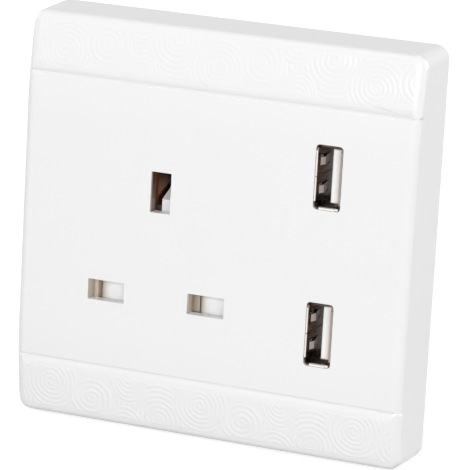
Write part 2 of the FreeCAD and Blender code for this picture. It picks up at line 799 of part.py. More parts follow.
cut_front(contact_base, web_rear - pocket_gap, deck, [
    rectangle(line_x + S["pin_leaf_width"] / 2, S["base_right"], line_link_z - pocket_gap,
              line_link_z + S["link_width"] + pocket_gap),
    rectangle(neutral_x - S["pin_leaf_width"] / 2 - pocket_gap, S["base_right"], link_z - pocket_gap,
              link_z + S["link_width"] + pocket_gap),
    rectangle(neutral_x - S["pin_leaf_width"] / 2 - pocket_gap,
              neutral_x + S["pin_leaf_width"] / 2 + pocket_gap, link_z, pin_z),
])
ear_tabs(contact_base, base_ear_x, base_bottom, base_top)
post_bottom = bar_top + S["spring_post_rise"]
post_top = post_bottom + S["spring_post_height"]
window_half = S["spring_radius"] + S["spring_wire"] / 2 + S["spring_side_gap"]
add_front(contact_base, deck, tower_inside - S["window_gap"],
          [rectangle(socket_x - window_half + shutter_room, socket_x + window_half - shutter_room,
                     post_bottom, post_top)])

rear_cover = new_body("rear_cover")
cover_rear = -S["base_rear"] - S["rear_cover_thickness"]
add_front(rear_cover, cover_rear, -S["base_rear"], [base_outline])
driver_holes = [(neutral_x, pin_z), (line_x, pin_z), (socket_x, earth_block_z)]
cut_front(rear_cover, cover_rear, -S["base_rear"], [],
          [(x, z, S["terminal_head_radius"] + S["frame_gap"]) for x, z in driver_holes])


# Shutter and its spring

shutter = new_body("shutter")
stem_top = ramp_foot + S["tower_wall"]
add_front(shutter, shutter_rear, shutter_front, [
    rectangle(neutral_x - pad_half, line_x + pad_half, bar_bottom, bar_top)])
add_front(shutter, shutter_rear, shutter_front, [
    rectangle(x - pad_half, x + pad_half, bar_bottom, pad_top) for x in (neutral_x, line_x)])
add_front(shutter, shutter_rear, shutter_front, [
    rectangle(socket_x - stem_half, socket_x + stem_half, bar_bottom, stem_top)])
window_top = post_top + S["spring_length"]
cut_front(shutter, shutter_rear, shutter_front, [
    rectangle(socket_x - window_half, socket_x + window_half, post_bottom - shutter_room, window_top)])
ramp_front = shutter_front - S["ramp_setback"]
profile_pad(shutter, "YZ_Plane", socket_x, S["ramp_width"], [
    (-ramp_front, ramp_foot), (-ramp_front, ramp_knee), (-ramp_rear, ramp_top),
    (-ramp_rear, ramp_top - S["ramp_tail"]), (-shutter_rear, ramp_foot)])


def upright_pad_edge(edge):
    """True for the front edges up both sides of the two pads."""
    box = edge.BoundBox
    on_front = max(abs(box.YMax + shutter_front.number), abs(box.YMin + shutter_front.number)) < TOUCH
    beside = abs(box.XMin - socket_x.number) > S["pin_spacing"].number / 2 - pad_half.number - TOUCH
    return on_front and beside and box.XLength < TOUCH and box.ZMax > bar_top.number + TOUCH


round_edges(shutter, S["shutter_pad_round"], upright_pad_edge)


COIL_STEPS = 8


def coil(radius, wire, turns, bottom, top):
    """A compression spring of square wire, its corners joined turn by turn by flat facets."""
    steps = int(turns * COIL_STEPS)
    half = wire / 2
    rings = []
    for step in range(steps + 1):
        angle = 2 * math.pi * step / COIL_STEPS
        height = bottom + half + (top - bottom - wire) * step / steps
        corners = []
        for out, up in ((-half, -half), (half, -half), (half, half), (-half, half)):
            reach = radius + out
            corners.append(Vector(reach * math.cos(angle), reach * math.sin(angle), height + up))
        rings.append(corners)
    faces = []
    for near, far in zip(rings, rings[1:]):
        for index in range(4):
            after = (index + 1) % 4
            for trio in ((near[index], near[after], far[after]), (near[index], far[after], far[index])):
                faces.append(Part.Face(Part.makePolygon(list(trio) + [trio[0]])))
    for ring in (rings[0], rings[-1]):
        faces.append(Part.Face(Part.makePolygon(ring + [ring[0]])))
    solid = Part.Solid(Part.makeShell(faces))
    if solid.Volume < 0:
        solid.reverse()
    return solid


spring_forward = (deck + tower_inside) / 2
shutter_spring = doc.addObject("Part::Feature", "shutter_spring")
shutter_spring.Shape = coil(S["spring_radius"].number, S["spring_wire"].number, S["spring_turns"].number,
                            post_top.number, window_top.number)
shutter_spring.Placement = Placement(Vector(socket_x.number, -spring_forward.number, 0), Rotation())


# Contacts, terminals and links

def leaf(mouth_forward, pinch_forward, root_forward, side):
    """One bowed leaf as (across, forward) points around the pin's axis."""
    thick = S["contact_thickness"]
    straight = S["leaf_mouth"] - S["leaf_bow"]
    shoulder = (mouth_forward + pinch_forward) / 2 + S["leaf_shoulder"]
    inner = [(S["leaf_mouth"], mouth_forward), (straight, shoulder),
             (S["leaf_pinch"], pinch_forward), (straight, root_forward)]
    outer = [(across + thick, forward) for across, forward in inner]
    return [(side * across, forward) for across, forward in inner + outer[::-1]]


def pin_contact(label, x):
    """A clip that grips a flat pin from above and below, with its web across the back."""
    body = new_body(label)
    for side in (1, -1):
        profile_pad(body, "YZ_Plane", x, S["pin_leaf_width"],
                    [(-forward, pin_z + across)
                     for across, forward in leaf(contact_mouth, S["pin_pinch_place"], web_rear, side)])
    add_front(body, web_rear, web_front, [centred(x, pin_z, S["pin_leaf_width"], 2 * web_half)])
    return body


contact_mouth = deck - pocket_gap
earth_mouth = tower_inside - S["earth_mouth_gap"]
web_half = leaf_reach - S["leaf_bow"]
line_contact = pin_contact("line_contact", line_x)
neutral_contact = pin_contact("neutral_contact", neutral_x)

earth_contact = new_body("earth_contact")
for side in (1, -1):
    profile_pad(earth_contact, "XY_Plane", earth_z, S["earth_leaf_width"],
                [(socket_x + across, -forward)
                 for across, forward in leaf(earth_mouth, S["earth_pinch_place"], earth_web_rear, side)])
add_front(earth_contact, earth_web_rear, earth_web_front, [
    rectangle(socket_x - web_half, socket_x + web_half,
              earth_z - S["earth_leaf_width"] / 2, earth_block_z + S["block_height"] / 2)])
cut_front(earth_contact, earth_web_rear, earth_web_front, [],
          [(socket_x, earth_block_z, S["terminal_screw_radius"] + S["window_gap"])])


def terminal_block(label, x, z, rear, front):
    """A brass block with a wire bore along Z and a screw bore from the rear."""
    body = new_body(label)
    add_front(body, rear, front, [centred(x, z, S["block_width"], S["block_height"])])
    middle = (size(rear) + front) / 2
    profile_cut(body, "XY_Plane", size(z) - S["block_height"], size(z) + S["block_height"], [],
                [(x, -middle, S["wire_bore_radius"])])
    cut_front(body, rear, middle, [], [(x, z, S["terminal_screw_radius"] + S["window_gap"] / 2)])
    return body


block_rear = web_rear - S["block_length"]
neutral_terminal = terminal_block("neutral_terminal", neutral_x, pin_z, block_rear, web_rear)
line_terminal = terminal_block("line_terminal", line_x, pin_z, block_rear, web_rear)
earth_terminal = terminal_block("earth_terminal", socket_x, earth_block_z, earth_web_front, earth_block_front)


def slotted_screws(label, places, seat, length, radius, head_radius, head_height):
    """Slotted screws that point forward, with their heads behind the seat."""
    body = new_body(label)
    body.AllowCompound = len(places) > 1
    add_front(body, seat - head_height, seat, [], [(x, z, head_radius) for x, z in places])
    add_front(body, seat, seat + length, [], [(x, z, radius) for x, z in places])
    cut_front(body, seat - head_height, seat - head_height / 2,
              [centred(x, z, 3 * head_radius, head_radius / 4) for x, z in places])
    return body


terminal_screws = []
for label, x, z, seat in (("neutral_terminal_screw", neutral_x, pin_z, block_rear),
                          ("line_terminal_screw", line_x, pin_z, block_rear),
                          ("earth_terminal_screw", socket_x, earth_block_z, earth_web_rear)):
    terminal_screws.append(slotted_screws(label, [(x, z)], seat, S["terminal_screw_length"],
                                          S["terminal_screw_radius"], S["terminal_head_radius"],
                                          S["terminal_head_height"]))
frame_screws = slotted_screws("frame_screws", ears, -S["ear_thickness"], S["screw_length"], S["screw_radius"],
                              S["screw_head_radius"], S["screw_head_height"])


# Charger: case, circuit board and what is soldered to it

charger_case = new_body("charger_case")
case_right = cavity_right - S["module_gap"]
case_waist = right_waist - module_inset
waist_top = S["waist_half"] + module_inset
add_front(charger_case, -S["case_rear"], S["case_front"],
          [waisted(S["case_left"], case_right, base_bottom, base_top, None, case_waist, module_inset)])
round_edges(charger_case, S["tower_round"], lambda edge: runs_forward(edge)
            and abs(edge.BoundBox.ZMax) > waist_top.number + TOUCH)


def inside_case(inset):
    return waisted(S["case_left"] + inset, case_right - inset, base_bottom + inset, base_top - inset,
                   None, case_waist - inset, module_inset + inset)


ledge = S["case_wall"] + S["case_ledge"]
cut_front(charger_case, board_rear, S["case_front"], [inside_case(S["case_wall"])])
cut_front(charger_case, -S["case_rear"] + S["case_wall"], board_rear, [inside_case(ledge)])
ear_tabs(charger_case, case_ear_x, base_bottom, base_top)
link_front = web_front + pocket_gap
link_rear = web_rear - pocket_gap
link_slots = [rectangle(-link_front, -link_rear, z - pocket_gap, z + S["link_width"] + pocket_gap)
              for z in (link_z, line_link_z)]
profile_cut(charger_case, "YZ_Plane", S["case_left"], S["case_left"] + ledge, link_slots)

circuit_board = new_body("circuit_board")
add_front(circuit_board, board_rear, board_front, [inside_case(S["case_wall"] + S["board_gap"])])
core_x = (S["case_left"] + case_waist) / 2
transformer_core = new_body("transformer_core")
core_rear = board_rear - S["core_depth"]
add_front(transformer_core, core_rear, board_rear, [
    centred(core_x, 0, S["core_width"], S["core_height"]),
    centred(core_x, 0, S["core_width"] - 2 * S["core_leg"], S["core_height"] - 2 * S["core_leg"])])
transformer_winding = new_body("transformer_winding")
winding_width = S["core_width"] - 2 * S["core_leg"] - 2 * S["window_gap"]
winding_height = S["core_height"] - 2 * S["core_leg"] - 2 * S["window_gap"]
add_front(transformer_winding, core_rear + S["core_cheek"], board_rear,
          [centred(core_x, 0, winding_width, winding_height)])
round_edges(transformer_winding, winding_width / 3, runs_forward)


def capacitor(label, z, scale):
    """An upright can behind the board, with a rolled neck above its foot."""
    body = new_body(label)
    radius = S["capacitor_radius"] * scale
    foot = board_rear - S["capacitor_foot"]
    neck = foot - S["capacitor_neck"] * 2
    add_front(body, foot, board_rear, [], [(case_ear_x, z, radius)])
    add_front(body, neck, foot, [], [(case_ear_x, z, radius - S["capacitor_neck"])])
    add_front(body, board_rear - S["capacitor_length"] * scale, neck, [], [(case_ear_x, z, radius)])
    return body


OUTPUT_SCALE = 0.8
input_capacitor = capacitor("input_capacitor", S["capacitor_rise"], 1)
output_capacitor = capacitor("output_capacitor", -S["capacitor_rise"], OUTPUT_SCALE)
control_chip = new_body("control_chip")
chip_x = S["case_left"] + S["chip_offset"] + S["chip_width"] / 2
add_front(control_chip, board_front, board_front + S["chip_thickness"],
          [centred(chip_x, 0, S["chip_width"], S["chip_height"])])

supply_links = new_body("supply_links")
supply_links.AllowCompound = True
link_end = S["case_left"] + S["link_reach"]
add_front(supply_links, web_rear, web_front, [
    rectangle(line_x + S["pin_leaf_width"] / 2, link_end, line_link_z, line_link_z + S["link_width"]),
    [(neutral_x - S["pin_leaf_width"] / 2, link_z), (link_end, link_z), (link_end, link_z + S["link_width"]),
     (neutral_x + S["pin_leaf_width"] / 2, link_z + S["link_width"]),
     (neutral_x + S["pin_leaf_width"] / 2, pin_z - web_half),
     (neutral_x - S["pin_leaf_width"] / 2, pin_z - web_half)]])
add_front(supply_links, web_rear, board_rear, [
    rectangle(link_end - S["contact_thickness"], link_end, z, z + S["link_width"])
    for z in (link_z, line_link_z)])


# USB ports

def port_shell(label, z):
    """A folded metal shell with parted corners, a seam and two bowed springs on each broad side."""
    body = new_body(label)
    wall = S["shell_wall"]
    half_w = S["shell_width"] / 2
    half_h = S["shell_height"] / 2
    notch = S["corner_notch"]
    add_front(body, board_front, shell_front, [centred(usb_x, z, S["shell_width"], S["shell_height"])])
    round_edges(body, S["shell_round"], runs_forward)
    cut_front(body, board_front, shell_front,
              [centred(usb_x, z, S["shell_width"] - 2 * wall, S["shell_height"] - 2 * wall)])
    cut_front(body, shell_front - S["notch_depth"], shell_front,
              [centred(usb_x + across * half_w, z + up * half_h, 2 * notch, 2 * notch)
               for across in (-1, 1) for up in (-1, 1)])
    cut_front(body, board_front, shell_front, [centred(usb_x - half_w, z, 3 * wall, S["shell_seam"])])
    spring_top = shell_front - S["port_spring_setback"]
    spring_foot = spring_top - S["port_spring_length"]
    centres = [z + up * S["port_spring_offset"] for up in (-1, 1)]
    slot_half = S["port_spring_slot"] / 2
    slots = [rectangle(-(spring_top + wall), -spring_foot, centre - slot_half, centre + slot_half)
             for centre in centres]
    profile_cut(body, "YZ_Plane", usb_x - half_w, usb_x + half_w, slots)
    lap = S["port_spring_lap"]
    bow = spring_top - S["port_spring_lead"]
    for across in (-1, 1):
        outer = usb_x + across * half_w
        inner = outer - across * wall
        tip = outer - across * S["port_spring_lift"]
        crest = outer - across * S["port_spring_bend"]
        profile = [(outer, -spring_foot - lap), (crest, -bow), (tip, -spring_top),
                   (tip - across * wall, -spring_top), (crest - across * wall, -bow),
                   (inner, -spring_foot - lap), (inner, -spring_foot + lap), (outer, -spring_foot + lap)]
        for centre in centres:
            profile_pad(body, "XY_Plane", centre, S["port_spring_width"], profile)
    return body


tongue_right = usb_x + S["shell_width"] / 2 - S["shell_wall"] - S["tongue_side_gap"]
tongue_left = tongue_right - S["tongue_thickness"]
tongue_front = shell_front - S["tongue_recess"]


def pin_rows(z, depth):
    """Outlines of four pins, or their grooves, along the left face of a tongue."""
    return [rectangle(tongue_left, tongue_left + depth, z + (order - 1.5) * S["usb_pin_pitch"] - half_pin,
                      z + (order - 1.5) * S["usb_pin_pitch"] + half_pin) for order in range(4)]


half_pin = S["usb_pin_width"] / 2


def port_tongue(label, z):
    """The plastic tongue with its base, cast as one piece, with four pin grooves."""
    body = new_body(label)
    wall = S["shell_wall"]
    half = S["tongue_height"] / 2
    add_front(body, board_front, tongue_front, [rectangle(tongue_left, tongue_right, z - half, z + half)])
    add_front(body, board_front, board_front + S["tongue_base"],
              [centred(usb_x, z, S["shell_width"] - 2 * wall, S["shell_height"] - 2 * wall)])
    cut_front(body, board_front, tongue_front - S["usb_pin_setback"], pin_rows(z, S["usb_pin_thickness"]))

    def at_tip(edge):
        return abs(edge.BoundBox.YMin + tongue_front.number) + edge.BoundBox.YLength < TOUCH

    round_edges(body, S["tongue_thickness"] / 5, at_tip)
    return body


def port_pins(label, z):
    """Four spring pins that lie in the tongue's grooves and reach the board."""
    body = new_body(label)
    body.AllowCompound = True
    add_front(body, board_front, tongue_front - S["usb_pin_setback"], pin_rows(z, S["usb_pin_thickness"]))
    return body


ports = []
for side, word in ((1, "upper"), (-1, "lower")):
    z = side * usb_z
    ports += [port_shell(f"{word}_usb_shell", z), port_tongue(f"{word}_usb_tongue", z),
              port_pins(f"{word}_usb_pins", z)]


# Hand-over

NODES = [
    top_trim_strip, bottom_trim_strip,
    front_cover, mounting_frame, contact_base, rear_cover, shutter, shutter_spring,
    line_contact, neutral_contact, earth_contact, line_terminal, neutral_terminal, earth_terminal,
    frame_screws, charger_case, circuit_board, transformer_core, transformer_winding,
    input_capacitor, output_capacitor, control_chip, supply_links,
] + terminal_screws + ports

doc.recompute()
failed = [item.Label for item in doc.Objects if "Invalid" in item.State or "Error" in item.State]
if failed:
    raise ValueError(f"not rebuilt: {failed}")
os.makedirs("parts", exist_ok=True)
for node in NODES:
    shape = node.Shape
    if shape.isNull() or not shape.isValid():
        raise ValueError(f"{node.Label} has no valid shape")
    exported = shape.Solids[0] if len(shape.Solids) == 1 else Part.makeCompound(shape.Solids)
    exported.exportStep(f"parts/{node.Label}.step")
    print(f"{node.Label}: {len(shape.Solids)} solid(s), {shape.Volume:.1f} mm3")
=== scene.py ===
import math

import bpy
import numpy as np
from mathutils import Matrix, Vector


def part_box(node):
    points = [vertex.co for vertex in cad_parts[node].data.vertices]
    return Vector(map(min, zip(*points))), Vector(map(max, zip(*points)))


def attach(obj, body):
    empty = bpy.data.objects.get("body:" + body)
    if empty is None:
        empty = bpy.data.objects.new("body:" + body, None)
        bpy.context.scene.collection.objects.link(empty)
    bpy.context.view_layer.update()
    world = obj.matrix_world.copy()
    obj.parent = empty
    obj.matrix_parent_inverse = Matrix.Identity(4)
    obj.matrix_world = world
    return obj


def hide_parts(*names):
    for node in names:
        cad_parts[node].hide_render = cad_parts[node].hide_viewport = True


# A white wall socket with two charging ports. X is right, Z is up and the front faces -Y.
# Lengths are in metres, apart from the ones that a comment gives in millimetres.

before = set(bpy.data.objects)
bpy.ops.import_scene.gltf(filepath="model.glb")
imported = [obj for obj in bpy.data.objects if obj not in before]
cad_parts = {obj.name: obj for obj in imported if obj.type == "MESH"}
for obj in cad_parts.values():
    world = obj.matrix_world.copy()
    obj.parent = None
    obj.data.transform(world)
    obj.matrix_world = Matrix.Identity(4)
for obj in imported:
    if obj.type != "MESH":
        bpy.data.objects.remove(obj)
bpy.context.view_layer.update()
MM = 0.001


# Choosing and editing

def choose(piece):
    """Select this piece alone and make it active."""
    if bpy.context.object and bpy.context.object.mode != "OBJECT":
        bpy.ops.object.mode_set(mode="OBJECT")
    bpy.ops.object.select_all(action="DESELECT")
    piece.select_set(True)
    bpy.context.view_layer.objects.active = piece


def settle(piece):
    """Put a piece's place, turn and size into its mesh."""
    choose(piece)
    bpy.ops.object.transform_apply(location=True, rotation=True, scale=True)
    return piece


def read_points(mesh):
    """The places of a mesh's vertices, one row each."""
    points = np.zeros(len(mesh.vertices) * 3)
    mesh.vertices.foreach_get("co", points)
    return points.reshape(-1, 3)


def write_points(mesh, points):
    """Move a mesh's vertices to these places."""
    mesh.vertices.foreach_set("co", points.ravel())
    mesh.update()


def give(piece, finish):
    """Put one finish on a whole piece."""
    piece.data.materials.clear()
    piece.data.materials.append(finish.material)


# Shader building

class Value:
    """A socket's output that takes part in plain arithmetic."""

    def __init__(self, graph, socket):
        self.graph = graph
        self.socket = socket

    def _maths(self, operation, first, second):
        node = self.graph.node("ShaderNodeMath", {"operation": operation}, {0: first, 1: second})
        return Value(self.graph, node.outputs[0])

    def __add__(self, other):
        return self._maths("ADD", self, other)

    def __radd__(self, other):
        return self._maths("ADD", other, self)

    def __sub__(self, other):
        return self._maths("SUBTRACT", self, other)

    def __rsub__(self, other):
        return self._maths("SUBTRACT", other, self)

    def __mul__(self, other):
        return self._maths("MULTIPLY", self, other)

    def __rmul__(self, other):
        return self._maths("MULTIPLY", other, self)

    def __gt__(self, other):
        return self._maths("GREATER_THAN", self, other)


class Graph:
    """The nodes of one material or of the world."""

    def __init__(self, owner):
        owner.use_nodes = True
        self.tree = owner.node_tree

    def node(self, kind, settings=None, values=None):
        made = self.tree.nodes.new(kind)
        for key, setting in (settings or {}).items():
            setattr(made, key, setting)
        for key, value in (values or {}).items():
            self.feed(made.inputs[key], value)
        return made

    def feed(self, socket, value):
        if isinstance(value, Value):
            self.tree.links.new(value.socket, socket)
        else:
            socket.default_value = value

    def showing(self):
        """1 for the rays that show a thing as it looks: straight, mirrored or through glass."""
        path = self.node("ShaderNodeLightPath")
        straight, mirrored, through = (
            Value(self, path.outputs[ray])
            for ray in ("Is Camera Ray", "Is Glossy Ray", "Is Transmission Ray"))
        return straight + mirrored + through


class Finish(Graph):
    """One material, built from a Principled surface."""

    def __init__(self, name):
        self.material = bpy.data.materials.new(name)
        super().__init__(self.material)
        self.surface = next(n for n in self.tree.nodes if n.type == "BSDF_PRINCIPLED")
        self.place = Value(self, self.node("ShaderNodeTexCoord").outputs["Object"])

    def set(self, **values):
        for key, value in values.items():
            self.feed(self.surface.inputs[key.replace("_", " ")], value)
        return self

    def axes(self):
        """The place split into its X, Y and Z."""
        split = self.node("ShaderNodeSeparateXYZ", {}, {0: self.place})
        return [Value(self, out) for out in split.outputs]

    def ramp(self, distance, edge):
        """A mask with one soft edge, two distances in millimetres: 0 at the first and 1 at the second."""
        start, end = edge
        made = self.node("ShaderNodeMapRange", {"interpolation_type": "SMOOTHSTEP"}, {
            "Value": distance, "From Min": start * MM, "From Max": end * MM})
        return Value(self, made.outputs[0])

    def between(self, distance, rise, fall):
        """A mask that rises over one soft edge and falls over another."""
        return self.ramp(distance, rise) * self.ramp(distance, fall)

    def noise(self, scale, detail=3.0, roughness=0.5, stretch=(1, 1, 1)):
        moved = self.node("ShaderNodeMapping", {}, {"Vector": self.place, "Scale": stretch})
        made = self.node("ShaderNodeTexNoise", {}, {
            "Vector": Value(self, moved.outputs[0]), "Scale": scale, "Detail": detail,
            "Roughness": roughness})
        return Value(self, made.outputs[0])

    def mix(self, factor, first, second):
        made = self.node("ShaderNodeMix", {"data_type": "RGBA"}, {"Factor": factor, 6: first, 7: second})
        return Value(self, made.outputs[2])

    def bump(self, height, strength, distance):
        made = self.node("ShaderNodeBump", {}, {
            "Height": height, "Strength": strength, "Distance": distance})
        self.feed(self.surface.inputs["Normal"], Value(self, made.outputs[0]))
        return self


def colour(red, green, blue):
    return (red, green, blue, 1.0)


def grey(level):
    return colour(level, level, level)


def dimmed(tone, share):
    """A colour at a share of its brightness."""
    return colour(*(share * part for part in tone[:3]))


# Plastics and metals

GLOSS_DEPTH = 0.2 * MM
GRAIN_DEPTH = 0.05 * MM
GRAIN_SCALE = 2600.0
GRAIN_SHADE = 0.94
GRAIN_BUMP = 0.25
SATIN_ROUGHNESS = 0.42
STREAK_SCALE = 420.0
STREAK_BUMP = 0.06


def gloss_plastic(name, body):
    """Polished moulded plastic with a faint unevenness in its gloss."""
    finish = Finish(name)
    cloud = finish.noise(scale=38.0, detail=2.0)
    finish.set(Base_Color=body, Roughness=0.16 + cloud * 0.05, IOR=1.47)
    return finish.bump(finish.noise(scale=60.0, detail=1.0), strength=0.08, distance=GLOSS_DEPTH)


def satin_plastic(name, body, roughness=SATIN_ROUGHNESS, grain=GRAIN_BUMP):
    """Plain moulded plastic with a fine spark-eroded grain."""
    finish = Finish(name)
    grains = finish.noise(GRAIN_SCALE, detail=2.0)
    finish.set(Base_Color=finish.mix(grains, dimmed(body, GRAIN_SHADE), body),
               Roughness=roughness + grains * 0.08)
    return finish.bump(grains, strength=grain, distance=GRAIN_DEPTH)


def metal(name, body, roughness, stretch=(1, 1, 1), tarnish=0.2, tarnish_shade=0.75):
    """Rolled or plated metal with soft streaks along its grain and a little tarnish."""
    finish = Finish(name)
    streaks = finish.noise(STREAK_SCALE, detail=4.0, roughness=0.6, stretch=stretch)
    stain_and_shade = finish.noise(scale=150.0)
    finish.set(Base_Color=finish.mix(stain_and_shade * tarnish, body, dimmed(body, tarnish_shade)),
               Roughness=roughness + streaks * 0.12, Metallic=1.0)
    return finish.bump(streaks, strength=STREAK_BUMP, distance=GRAIN_DEPTH)


# The port shells, in millimetres. A tint's soft edge runs from no tint to full tint. Across and up are
# counted from the middle of the port, and along is the place on Y.
PORT_X = 24.4
PORT_Z = 16.2
PORT_FRONT = 15.1
BORE_ALONG = (0.15 - PORT_FRONT, 0.6 - PORT_FRONT)
BOTTOM_WALL_UP = (-6.12, -6.2)
BOTTOM_WALL_ALONG = (-13.9, -14.3)
SPRING_UP = ((2.05, 2.15), (3.75, 3.65))
SPRING_ALONG = ((-13.6, -13.4), (-11.9, -12.2))
SPRING_ACROSS = ((-2.44, -2.4), (0.2, 0.1))
TOP_LIP_UP = (6.15, 6.25)
RIGHT_LIP_ACROSS = (2.4, 2.5)
LEFT_CORNERS_ACROSS = (-1.68, -1.78)
LOWER_CORNER_UP = (-4.9, -5.05)
UPPER_CORNER_UP = (5.75, 5.85)
RIGHT_CORNER_ACROSS = (2.2, 2.3)
RIGHT_CORNER_UP = (-5.2, -5.4)

SHELL_BRIGHT = colour(0.84, 0.77, 0.74)
SHELL_DULL = colour(0.7, 0.62, 0.58)
SHELL_WEAR = 0.4
# Painted shade: the top lip is darkened almost to black and the right lip to a brown-grey.
TOP_LIP_SHADE = colour(0.05, 0.035, 0.03)
TOP_LIP_SHADE_AMOUNT = 0.95
RIGHT_LIP_SHADE = colour(0.26, 0.21, 0.2)
RIGHT_LIP_SHADE_AMOUNT = 0.85
# Painted shade: the bore behind the lips is dark brown, streaked paler.
BORE_SHADE_DARK = colour(0.16, 0.115, 0.105)
BORE_SHADE_PALE = colour(0.28, 0.205, 0.185)
# Painted highlight: the springs' lit lead-ins are pale and less metallic.
SPRING_HIGHLIGHT = colour(0.82, 0.71, 0.62)
SPRING_MATT = 0.6
# Painted highlight: the front of the bottom wall is near white and mostly not metallic.
BOTTOM_WALL_HIGHLIGHT = colour(0.97, 0.93, 0.9)
BOTTOM_WALL_MATT = 0.8
# Painted shade: the cut corners are a near-black brown.
CORNER_SHADE = colour(0.05, 0.026, 0.016)


def port_steel(name, middle):
    """A port's plated shell: bright lips, with painted shade darkening the top and right lips, the bore and
    the cut corners, and painted highlights making the springs and the front of the bottom wall pale.
    """
    finish = Finish(name)
    x, along, z = finish.axes()
    across = x - PORT_X * MM
    up = z - middle * MM
    streaks = finish.noise(STREAK_SCALE, detail=4.0, roughness=0.6, stretch=(1, 1, 7))
    bottom_wall = finish.ramp(up, BOTTOM_WALL_UP) * finish.ramp(along, BOTTOM_WALL_ALONG)
    shaded_bore = finish.ramp(along, BORE_ALONG) * (1 - bottom_wall)
    both_springs = finish.between(up, *SPRING_UP) + finish.between(0 - up, *SPRING_UP)
    spring = both_springs * finish.between(along, *SPRING_ALONG) * finish.between(across, *SPRING_ACROSS)
    top_lip = finish.ramp(up, TOP_LIP_UP)
    right_lip = finish.ramp(across, RIGHT_LIP_ACROSS)
    left_corners = finish.ramp(across, LEFT_CORNERS_ACROSS) * (
        finish.ramp(up, LOWER_CORNER_UP) + finish.ramp(up, UPPER_CORNER_UP))
    right_corner = finish.ramp(across, RIGHT_CORNER_ACROSS) * finish.ramp(up, RIGHT_CORNER_UP)
    tone = finish.mix(streaks * SHELL_WEAR, SHELL_BRIGHT, SHELL_DULL)
    # Painted shade on the top and right lips.
    tone = finish.mix(top_lip * TOP_LIP_SHADE_AMOUNT, tone, TOP_LIP_SHADE)
    tone = finish.mix(right_lip * RIGHT_LIP_SHADE_AMOUNT, tone, RIGHT_LIP_SHADE)
    # Painted shade in the bore.
    tone = finish.mix(shaded_bore, tone, finish.mix(streaks, BORE_SHADE_DARK, BORE_SHADE_PALE))
    # Painted highlight on the springs.
    tone = finish.mix(spring, tone, SPRING_HIGHLIGHT)
    # Painted highlight on the front of the bottom wall.
    tone = finish.mix(bottom_wall, tone, BOTTOM_WALL_HIGHLIGHT)
    # Painted shade in the cut corners.
    tone = finish.mix(left_corners + right_corner, tone, CORNER_SHADE)
    finish.set(Base_Color=tone, Roughness=0.2 + streaks * 0.12 + (spring + bottom_wall) * 0.15,
               Metallic=1 - bottom_wall * BOTTOM_WALL_MATT - spring * SPRING_MATT)
    return finish.bump(streaks, strength=STREAK_BUMP, distance=GRAIN_DEPTH)


# The base, in millimetres: where its rims' tone gives way to the body's, and the earth contact's chamber,
# which takes painted dark-brown shade.
RIM_ALONG = (-10.6, -9.4)
CHAMBER_ACROSS = ((-17.6, -17.4), (-8.6, -8.8))
CHAMBER_UP = ((0.8, 1.0), (13.2, 13.0))
CHAMBER_ALONG = (6.5, 6.0)
CHAMBER_AMOUNT = 0.92


def base_moulding(name, rim, body, stain_and_shade):
    """Tan insulating plastic, darker on its front rims, with painted dark-brown shade round the earth
    contact, toned like its copper.
    """
    finish = Finish(name)
    across, along, up = finish.axes()
    grains = finish.noise(GRAIN_SCALE, detail=2.0)
    inward = finish.ramp(along, RIM_ALONG)
    chamber = (finish.between(across, *CHAMBER_ACROSS) * finish.between(up, *CHAMBER_UP)
               * finish.ramp(along, CHAMBER_ALONG))
    tone = finish.mix(inward * (0.9 + grains * 0.1), rim, body)
    # Painted dark-brown shade in the earth contact's chamber.
    finish.set(Base_Color=finish.mix(chamber * CHAMBER_AMOUNT, tone, stain_and_shade),
               Roughness=SATIN_ROUGHNESS + grains * 0.08)
    return finish.bump(grains, strength=GRAIN_BUMP, distance=GRAIN_DEPTH)


# Left walls of the apertures, in millimetres: x, middle z and half height, then the tint of their painted
# shade and reflection.
APERTURE_WALL_SHADE = [
    (-26.665, -13.87, 2.3, colour(0.76, 0.64, 0.54)),
    (-4.435, -13.87, 2.3, colour(0.76, 0.64, 0.54)),
    (-13.7, 8.36, 4.6, colour(0.2, 0.085, 0.045)),
]

# The painted shade on those walls, in millimetres: its margin to the right and its soft edges, and then for
# each piece its reach to the left and the soft edge along Y where it starts.
WALL_MARGIN = 0.15
WALL_SOFT = 0.05
WALL_END_SOFT = 0.1
COVER_WALL_REACH = 0.15
COVER_WALL_ALONG = (-15.15, -14.1)
FRAME_WALL_REACH = 0.6
FRAME_WALL_ALONG = (-14.0, -13.9)


def shade_aperture_walls(finish, body, reach, depth_edge):
    """Paint shade on the apertures' left walls, with the reflected tone of the tan and copper parts behind
    them.
    """
    across, along, up = finish.axes()
    depth = finish.ramp(along, depth_edge)
    tone = body
    for wall_x, middle_z, half, wall_shade_tone in APERTURE_WALL_SHADE:
        left = wall_x - reach
        right = wall_x + WALL_MARGIN
        bottom = middle_z - half
        top = middle_z + half
        shaded_wall = (finish.between(across, (left - WALL_SOFT, left), (right + WALL_SOFT, right))
                * finish.between(up, (bottom - WALL_END_SOFT, bottom), (top + WALL_END_SOFT, top)))
        # Painted shade, with the reflected tone of the parts behind, on each left wall.
        tone = finish.mix(shaded_wall * depth, tone, wall_shade_tone)
    return finish.set(Base_Color=tone)


def cover_plastic(name, body):
    """Polished white cover plastic, with painted shade on its apertures' left walls."""
    return shade_aperture_walls(gloss_plastic(name, body), body, COVER_WALL_REACH, COVER_WALL_ALONG)


def frame_plastic(name, body):
    """Plain white frame plastic with a fine grain, and painted shade on its apertures' left walls."""
    return shade_aperture_walls(satin_plastic(name, body), body, FRAME_WALL_REACH, FRAME_WALL_ALONG)


# Soft edges of the painted shade on the shutter, the tongues and the earth contact, across in millimetres.
LEFT_PAD_ACROSS = (-23.3, -25.9)
RIGHT_PAD_ACROSS = ((-6.0, -5.0), (-1.1, -3.7))
TONGUE_ACROSS = (24.8, 26.1)
JAW_ACROSS = (-14.15, -13.7)
